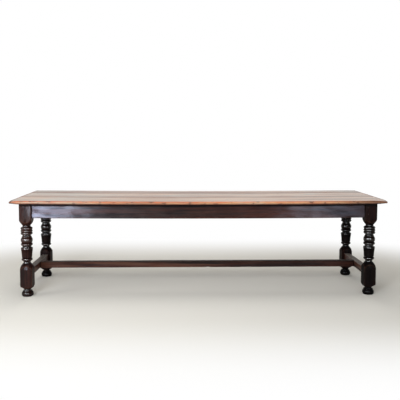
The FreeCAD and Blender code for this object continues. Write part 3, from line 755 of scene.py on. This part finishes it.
class Outline:
    # the rows of a turned outline, from the floor up

    def __init__(self, count):
        self.count = count  # rows in a member
        self.rows = []

    def add(self, radius, height, crest=0.0, edge=turnedWear["noEdge"], reach=0.0, arc=(0.0, 0.0, 0.0)):
        self.rows.append(Row(radius, height, crest, edge, reach, *arc))

    def member(self, start, length, endRadius, middleRadius):
        # a straight cut, a bead or a hollow, from start = (radius, height); gives its end
        finish = (endRadius, start[1] + length)
        bulge = 0.0 if middleRadius is None else middleRadius - (start[0] + endRadius) / 2
        if abs(bulge) < 1e-6:
            self.add(*finish, crest=turnedWear["cut"])
            return finish
        centre, radius = arcThrough(start, finish, bulge)
        side = math.copysign(1, bulge)
        first, last = [math.atan2(side * (end[1] - centre.y), side * (end[0] - centre.x))
                       for end in (start, finish)]
        sweep = (last - first + math.pi) % math.tau - math.pi
        proud = max(-1.0, min(1.0, bulge / (turnedWear["proudBead"] * length)))
        for step in range(1, self.count + 1):
            share = step / self.count
            angle = first + sweep * share
            hump = math.sin(math.pi * share)
            crest = hump * proud + turnedWear["seam"] * (1 - hump)
            self.add(centre.x + radius * math.cos(angle), centre.y + radius * math.sin(angle), crest)
        return finish

    def members(self, spot, turnings):
        for length, end, middle in turnings.values():
            spot = self.member(spot, length, end / 2, middle / 2 if middle else None)
        return spot

    def shoulder(self, neck, corner, crown, rising):
        # rows from the neck out to the block's corner, or from there in to the neck
        centre, radius = arcThrough(neck, corner, crown) if rising else arcThrough(corner, neck, crown)
        arc = (centre.x, centre.y, -radius if rising else radius)
        shares = [step / self.count for step in range(self.count + 1)]
        for share in shares if rising else reversed(shares):
            crest = turnedWear["cut"] * (1 - share) ** 3
            self.add(neck[0], 0.0, crest, turnedWear["blockEdge"] * (1 - share), share, arc)

    def block(self, bottom, top, count):
        for step in range(count + 1):
            height = bottom + (top - bottom) * step / count
            self.add(0.0, height, 0.0, turnedWear["blockEdge"], 1.0)


def legOutline(leg, top):
    outline = Outline(leg["rowsInBead"])
    low, dome, high = leg["lowerShoulder"], leg["dome"], leg["upperShoulder"]
    margin = leg["blockMargin"]
    outline.add(0.0, 0.0)
    spot = (leg["base"] / 2, 0.0)
    outline.add(*spot, crest=turnedWear["base"])
    spot = outline.members(spot, leg["foot"])
    blockBottom = spot[1] + low["length"]
    outline.shoulder(spot, (leg["swing"], blockBottom), low["crown"], True)
    blockTop = blockBottom + leg["lowerBlock"]
    outline.block(blockBottom + margin, blockTop - margin, leg["rowsInBlock"])
    spot = (dome["top"] / 2, blockTop + dome["length"])
    outline.shoulder(spot, (leg["swing"], blockTop), dome["crown"], False)
    spot = outline.members(spot, leg["shaft"])
    blockBottom = spot[1] + high["length"]
    outline.shoulder(spot, (leg["swing"], blockBottom), high["crown"], True)
    outline.block(blockBottom + margin, top, leg["rowsInBlock"])
    outline.add(0.0, top)
    return outline.rows


def outlineObject(name, rows):
    mesh = newMesh(name, [(row.radius, 0.0, row.height) for row in rows])
    for label in Row._fields[2:]:
        values = mesh.attributes.new(label, "FLOAT", "POINT")
        values.data.foreach_set("value", [getattr(row, label) for row in rows])
    return addObject(name, mesh)


def legTree():
    # a square post turned on the lathe: each row of the outline goes once round the leg
    tree, wire, given = newTree("turnedLeg", {
        "Object": ("Outline",), "Int": ("Rows", "Columns"), "Vector": ("Stands At", "Figure"),
        "Float": ("Half Block", "Arris", "Uneven Arris", "Wobble", "Top", "Apron Depth", "Dull", "Dull Foot",
                  "Foot Height"), "Material": ("Finish",),
    })
    leastArc = 0.001  # rows with a smaller arc aren't on a shoulder
    axisRadius = 0.01  # the middles of the two ends don't wobble
    weld = 0.00002  # where the sheet closes on itself
    counts = {"Size X": 1.0, "Size Y": 1.0, "Vertices X": given("Columns") + 1.0, "Vertices Y": given("Rows")}
    sheet = wire.node("GeometryNodeMeshGrid", counts)
    spot = wire.node("GeometryNodeInputPosition")
    row = wire.maths("ROUND", (spot.part(1) + 0.5) * (given("Rows") - 1.0))
    outline = wire.node("GeometryNodeObjectInfo", {"Object": given("Outline")}, "Geometry")

    def atRow(value, kind):
        sockets = {"Geometry": outline, "Value": value, "Index": row}
        return wire.node("GeometryNodeSampleIndex", sockets, data_type=kind)

    def fromOutline(label):
        return atRow(readValue(wire, label, "FLOAT"), "FLOAT")

    place = atRow(wire.node("GeometryNodeInputPosition"), "FLOAT_VECTOR")
    neck, level = place.part(0), place.part(2)

    # columns crowd towards the block's corners, four quarters round
    quarters = (spot.part(0) + 0.5) * 4.0
    quarter = wire.maths("FLOOR", quarters)
    within = (quarters - quarter) * 2.0 - 1.0
    angle = quarter * (math.pi / 2) + wire.maths("SINE", within * (math.pi / 2)) * (math.pi / 4)
    across = wire.maths("COSINE", angle)
    deep = wire.maths("SINE", angle)
    small = abs(across).atMost(abs(deep))
    large = abs(across).atLeast(abs(deep))

    # the square block with its rubbed arrises
    rubSpot = wire.joined(wire.maths("SIGN", across), wire.maths("SIGN", deep), level)
    rubSpot = wire.vector("ADD", wire.vector("MULTIPLY", rubSpot, turnedLeg["rubScale"]), given("Figure"))
    rub = wire.cloud(rubSpot, (1.0, 1.0, 1.0), 3.0).eased(*turnedLeg["rubbed"])
    arris = given("Arris") + given("Uneven Arris") * rub
    flatReach = given("Half Block") / large
    core = given("Half Block") - arris
    sides = abs(across) + abs(deep)
    inside = (core * core * (sides * sides - 2.0) + arris * arris).atLeast(0.0)
    roundReach = core * sides + wire.maths("SQRT", inside)
    onFlat = wire.maths("LESS_THAN", small * flatReach, core)
    square = roundReach + (flatReach - roundReach) * onFlat

    # shoulders follow their arc up to the block
    reach = fromOutline("reach")
    radius = neck + (square - neck) * reach
    arcRadius = fromOutline("arcRadius")
    off = radius - fromOutline("arcAcross")
    rise = wire.maths("SQRT", (arcRadius * arcRadius - off * off).atLeast(0.0))
    rise = rise * wire.maths("SIGN", arcRadius)
    onArc = wire.maths("GREATER_THAN", abs(arcRadius), leastArc)
    height = level + (fromOutline("arcUp") + rise - level) * onArc

    # the hand turner's wobble
    wobble = wire.cloud(wire.joined(across, deep, height), turnedLeg["wobbleScale"], 2.0) * given("Wobble")
    radius = radius - wobble * wire.maths("GREATER_THAN", radius, axisRadius)
    x = across * radius
    y = deep * radius
    noEdge = turnedWear["noEdge"]
    blockEdge = noEdge + (square * (large - small) - noEdge) * reach
    offFloor = height.eased(turnedLeg["dullBelow"], given("Foot Height"))
    mesh = storeValues(sheet, {
        "grain": wire.vector("ADD", wire.joined(height, x, y), given("Figure")),
        "edgeDistance": fromOutline("edge").atMost(blockEdge),
        "crest": fromOutline("crest"),
        "turned": 1.0 - reach,
        # dull: the leg's painted shade, and its scuffed foot
        "dull": given("Dull") + given("Dull Foot") * (1.0 - offFloor),
        # up: near 1 under the top, where the finish paints shade
        "up": (1.0 - (given("Top") - height) / given("Apron Depth")).atLeast(0.0),
    })
    mesh = movePoints(mesh, wire.vector("ADD", wire.joined(x, y, height), given("Stands At")))
    closeTree(mesh.then("GeometryNodeMergeByDistance", Distance=weld), given("Finish"))
    return tree


turnedLegTree = legTree()
legBox = {corner: boxOf("leg_" + corner) for corner in turnedLeg["corners"]}
legTop = legBox["front_left"].high.z
legRows = legOutline(turnedLeg, legTop)
legGuide = outlineObject("legOutline", legRows)
for corner, box in legBox.items():
    leg = growPiece("leg_" + corner + "_wood", turnedLegTree, {
        "Outline": legGuide, "Rows": len(legRows), "Top": legTop, "Half Block": box.size.x / 2,
        "Stands At": (box.middle.x, box.middle.y, 0.0), "Apron Depth": boxOf("apron_front").size.z,
        "Finish": legFinish, **turnedLeg["inputs"], **turnedLeg["corners"][corner],
    })
    seat(leg, "frame_wood", "leg_" + corner)
bpy.data.objects.remove(legGuide)
print("legs turned:", len(legBox), "with", len(legRows), "rows each")


# pegs: whittled, not quite round, standing a hair proud
pegLook = {
    "radius": 0.0045,
    "fit": 0.95,  # of the hole
    "proud": 0.0007,
    "trodden": 0.00042,  # how far those of the rails lie below the rest
    "sides": 9,
    "uneven": (0.05, 0.04),  # out of round, on two and on three sides
    "inset": 0.020,
    "apronLevel": 0.677,
    "apronPitch": 0.050,
    "stretcherLevel": 0.179,
    "lengths": {"apron_pegs": 0.042, "end_stretcher_pegs": 0.060,
                "long_stretcher_pegs": 0.046, "top_pegs": 0.058},
    "stored": {"edgeDistance": 0.006, "endGrain": 1.0, "tone": 0.1},  # for the finish
    "seed": 11,
}


def pegShape(name, length):
    sides = pegLook["sides"]
    proud = pegLook["proud"]
    twoSided, threeSided = pegLook["uneven"]
    # share of the radius, and depth
    rings = [(0.70, -proud), (0.95, -proud * 0.7), (1.0, 0.0), (0.97, length)]
    points = []
    for share, depth in rings:
        for side in range(sides):
            turn = math.tau * side / sides
            uneven = 1 + twoSided * math.sin(2 * turn + 0.7) + threeSided * math.sin(3 * turn)
            spread = pegLook["radius"] * share * uneven * pegLook["fit"]
            points.append((spread * math.cos(turn), spread * math.sin(turn), depth))
    last = len(points) - sides
    faces = [tuple(reversed(range(sides)))]
    for first in range(0, last, sides):
        for side in range(sides):
            nextSide = (side + 1) % sides
            faces.append((first + side, first + nextSide, first + sides + nextSide, first + sides + side))
    faces.append(tuple(range(last, len(points))))
    return addObject(name, newMesh(name, points, faces))


def pegTree():
    inputs = {"Object": ("Places", "Peg"), "Int": ("Seed",), "Material": ("Finish",)}
    tree, wire, given = newTree("pegGroup", inputs)
    places, peg = [wire.node("GeometryNodeObjectInfo", {"Object": given(label)}, "Geometry")
                   for label in ("Places", "Peg")]
    spin = {2: 0.0, 3: math.tau, 8: given("Seed")}  # least, most, seed
    spin = wire.node("FunctionNodeRandomValue", spin, 1)
    spun = wire.node("FunctionNodeAxisAngleToRotation", {"Axis": (0.0, 0.0, 1.0), "Angle": spin})
    aim = {"Rotation": spun, "Vector": readValue(wire, "way", "FLOAT_VECTOR")}
    aimed = wire.node("FunctionNodeAlignRotationToVector", aim, axis="Z")
    copies = {"Points": places, "Instance": peg, "Rotation": aimed}
    pegs = wire.node("GeometryNodeInstanceOnPoints", copies).then("GeometryNodeRealizeInstances")
    values = dict(pegLook["stored"], grain=wire.node("GeometryNodeInputPosition"))
    closeTree(storeValues(pegs, values), given("Finish"))
    return tree


pegGroup = pegTree()


def makePegs(node, places, finish, slot):
    # each place is a point and the way that the peg goes in
    mesh = newMesh(node + "_places", [place for place, way in places])
    ways = mesh.attributes.new("way", "FLOAT_VECTOR", "POINT")
    ways.data.foreach_set("vector", [number for place, way in places for number in way])
    spots = addObject(node + "_places", mesh)
    peg = pegShape(node + "_peg", pegLook["lengths"][node])
    values = {"Places": spots, "Peg": peg, "Seed": pegLook["seed"], "Finish": finish}
    pegs = growPiece(node + "_wood", pegGroup, values)
    bpy.data.objects.remove(spots)
    bpy.data.objects.remove(peg)
    seat(pegs, slot, node)


def sagAt(x):
    return settling["drop"] * max(0.0, 1 - (x / settling["reach"]) ** 2)


apronPegs = []
stretcherPegs = []
for box in legBox.values():
    endWay, sideWay = [math.copysign(1, box.middle[axis]) for axis in (0, 1)]
    outerX = box.middle.x + endWay * box.size.x / 2
    outerY = box.middle.y + sideWay * box.size.y / 2
    pegX = box.middle.x - endWay * (box.size.x / 2 - pegLook["inset"])
    pegY = box.middle.y - sideWay * (box.size.y / 2 - pegLook["inset"])
    for step in (-0.5, 0.5):
        level = pegLook["apronLevel"] + step * pegLook["apronPitch"]
        apronPegs.append(((pegX, outerY, level), (0.0, -sideWay, 0.0)))
        apronPegs.append(((outerX, pegY, level), (-endWay, 0.0, 0.0)))
    stretcherPegs.append(((outerX, pegY, pegLook["stretcherLevel"]), (-endWay, 0.0, 0.0)))
makePegs("apron_pegs", apronPegs, frameFinish, "peg_wood")
makePegs("end_stretcher_pegs", stretcherPegs, frameFinish, "peg_wood")

downward = (0.0, 0.0, -1.0)
railPegX = endRail.low.x + pegLook["inset"]
railPegLevel = endRail.high.z - pegLook["proud"] - pegLook["trodden"]
railPegs = [((railPegX * end, 0.0, railPegLevel), downward) for end in (-1, 1)]
makePegs("long_stretcher_pegs", railPegs, frameFinish, "peg_wood")

# the middle plank is pegged to the end aprons and the bearers, the outer two to the long aprons
topLevel = boxOf("top_plank_front").high.z
bearerPlaces = [boxOf(node).middle.x for node in bearerFigures]
endApronX = boxOf("apron_right").middle.x
apronY = boxOf("apron_back").middle.y
middlePlank = boxOf("top_plank_middle")
pegRows = [(x, middlePlank.middle.y + step * middlePlank.size.y / 4)
           for x in [-endApronX] + bearerPlaces + [endApronX] for step in (-1, 1)]
pegRows += [(bearerPlaces[2] * step, apronY * side) for side in (-1, 1) for step in (-1.5, -0.5, 0.5, 1.5)]
topPegs = [((x, y, topLevel - pegLook["proud"] - sagAt(x)), downward) for x, y in pegRows]
makePegs("top_pegs", topPegs, topFinish, "top_peg_wood")
print("pegs driven:", len(apronPegs) + len(stretcherPegs) + len(railPegs) + len(topPegs))

for node in ("top_tongue_front", "top_tongue_back"):
    materials = frame["nodes"][node].data.materials
    materials.clear()
    materials.append(tongueFinish)


# floor: a pale pool round the table that fades to white
floorLook = {"colour": paint(226, 220, 208), "size": 30.0, "pool": (1.3, 0.35), "clear": 0.55, "faded": 1.9}


def makeFloor():
    finish, wire = newShading("paleFloor")
    spot = wire.node("ShaderNodeTexCoord", output="Object")
    pastX, pastY = [(abs(spot.part(axis)) - floorLook["pool"][axis]).atLeast(0.0) for axis in (0, 1)]
    past = {0: wire.joined(pastX, pastY, 0.0)}
    away = wire.node("ShaderNodeVectorMath", past, "Value", operation="LENGTH")
    fade = away.eased(floorLook["clear"], floorLook["faded"])
    path = wire.node("ShaderNodeLightPath", output="Is Camera Ray")
    matt = wire.node("ShaderNodeBsdfDiffuse", {"Color": floorLook["colour"]})
    white = wire.node("ShaderNodeEmission", {"Color": (1.0, 1.0, 1.0, 1.0)})
    mixed = wire.node("ShaderNodeMixShader", {0: fade * path, 1: matt, 2: white})
    wire.node("ShaderNodeOutputMaterial", {"Surface": mixed})
    half = floorLook["size"] / 2
    corners = [(-half, -half, 0.0), (half, -half, 0.0), (half, half, 0.0), (-half, half, 0.0)]
    mesh = newMesh("floor", corners, [(0, 1, 2, 3)])
    mesh.materials.append(finish)
    floor = addObject("floor", mesh)


makeFloor()


# shows: the pieces in whose polish a lamp is seen; lights: whether it lights the matt wood too
Lamp = namedtuple("Lamp", "place aim size power shows tint lights", defaults=(None, "dayTint", True))

# studio: a white wall behind the table, a dimmer room in front, soft lamps
studio = {
    "ambient": 0.27,
    "room": 0.03,
    "wall": (-0.15, 0.35),  # where the room gives way to the wall
    "dayTint": (0.96, 0.98, 1.0),
    "skyTint": (0.74, 0.84, 1.0),
    "duskTint": (0.62, 0.69, 1.0),
    "shineBehind": 0.05,  # in the same place, the matt wood's half of a lamp would hide it
    # the windows would burn out the top from behind, so they show in the frame alone
    "lamps": {
        "ceiling": Lamp((-0.3, -0.6, 3.4), (-0.3, -0.2, 0.4), (4.4, 3.0), 30, "all"),
        "leftWindow": Lamp((-2.3, -5.0, 1.25), (-0.7, 0.0, 0.6), (1.8, 2.0), 190, "frame", "skyTint"),
        "leftDoor": Lamp((-2.12, -4.9, 0.24), (-1.1, 0.0, 0.6), (0.8, 0.4), 28, "frame", "skyTint"),
        "highWindow": Lamp((-0.9, -4.6, 2.3), (-0.3, 0.0, 0.5), (2.4, 1.4), 115, "frame"),
        "sideWindow": Lamp((-4.2, -1.8, 1.3), (0.0, 0.0, 0.5), (1.2, 1.4), 40, "frame"),
        "rightWindow": Lamp((1.65, -3.8, 0.80), (0.6, 0.0, 0.6), (0.5, 1.5), 30, "frame", "skyTint"),
        "backFill": Lamp((0.0, 4.6, 2.3), (0.0, 0.0, 0.4), (3.0, 1.6), 100),
        "leftSheen": Lamp((-2.35, -4.9, 0.25), (-1.1, 0.0, 0.6), (0.8, 0.5), 92, "apron", "duskTint", False),
        "rightSheen": Lamp((2.15, -4.9, 0.25), (0.9, 0.0, 0.6), (1.1, 0.5), 15, "apron", "duskTint", False),
        "leftGlint": Lamp((-3.6, -3.9, 1.6), (0.0, 0.0, 0.4), (0.8, 0.9), 380, "legs", "dayTint", False),
        "highGlint": Lamp((-0.9, -4.6, 1.95), (-0.3, 0.0, 0.5), (1.6, 0.7), 90, "legs", "dayTint", False),
        "rightGlint": Lamp((1.8, -4.4, 1.6), (0.6, 0.0, 0.4), (0.6, 0.8), 170, "legs", "dayTint", False),
    },
}


def makeWorld():
    world, wire = newShading("studio", bpy.data.worlds)
    way = wire.node("ShaderNodeTexCoord", output="Generated")
    behind = way.part(1).eased(*studio["wall"])
    seen = wire.node("ShaderNodeLightPath", output="Is Camera Ray")
    glossy = wire.node("ShaderNodeLightPath", output="Is Glossy Ray")
    through = wire.node("ShaderNodeLightPath", output="Is Transmission Ray")
    backdrop = seen.atLeast(through)
    shine = studio["room"] + (1.0 - studio["room"]) * behind
    light = studio["ambient"] + (shine - studio["ambient"]) * glossy
    strength = light + (1.0 - light) * backdrop
    sky = wire.node("ShaderNodeBackground", {"Color": (1.0, 1.0, 1.0, 1.0), "Strength": strength})
    wire.node("ShaderNodeOutputWorld", {"Surface": sky})
    scene.world = world


def addLamp(name, lamp, behind=0.0):
    light = bpy.data.lights.new(name, "AREA")
    light.shape = "RECTANGLE"
    light.size, light.size_y = lamp.size
    light.energy = lamp.power
    light.color = studio[lamp.tint]
    holder = addObject(name, light)
    way = (Vector(lamp.aim) - Vector(lamp.place)).normalized()
    holder.location = Vector(lamp.place) - way * behind
    holder.rotation_euler = way.to_track_quat("-Z", "Y").to_euler()
    holder.visible_camera = False
    return holder


def makeLamps():
    # one half of a lamp lights the matt wood, the other shows in the polish
    pieces = [piece for piece in scene.objects if piece.name.endswith("_wood")]
    starts = {"all": "", "frame": ("apron_", "cross_", "end_", "leg_", "long_"), "apron": "apron_front",
              "legs": "leg_"}
    for name, lamp in studio["lamps"].items():
        if lamp.lights:
            addLamp(name, lamp).visible_glossy = False
        if lamp.shows:
            shine = addLamp(name + "Shine", lamp, studio["shineBehind"])
            shine.visible_diffuse = False
            group = bpy.data.collections.new(name + "Shows")
            for piece in pieces:
                if piece.name.startswith(starts[lamp.shows]):
                    group.objects.link(piece)
            shine.light_linking.receiver_collection = group


makeWorld()
makeLamps()
scene.view_settings.view_transform = "Standard"


# camera, where the photograph was taken from
viewpoint = {"place": (-0.1476, -4.9527, 1.2707), "turn": 1.853, "down": 4.0392, "roll": 0.1539,
             "lens": 52.938, "sensor": 36.0, "shift": -0.058}


def makeCamera():
    lens = bpy.data.cameras.new("camera")
    lens.lens = viewpoint["lens"]
    lens.sensor_width = viewpoint["sensor"]
    lens.shift_y = viewpoint["shift"]
    camera = addObject("camera", lens)
    aim = Matrix.Translation(viewpoint["place"])
    for angle, axis in ((-viewpoint["turn"], "Z"), (90 - viewpoint["down"], "X"), (viewpoint["roll"], "Z")):
        aim = aim @ Matrix.Rotation(math.radians(angle), 4, axis)
    camera.matrix_world = aim
    scene.camera = camera


makeCamera()
print("studio and camera set")
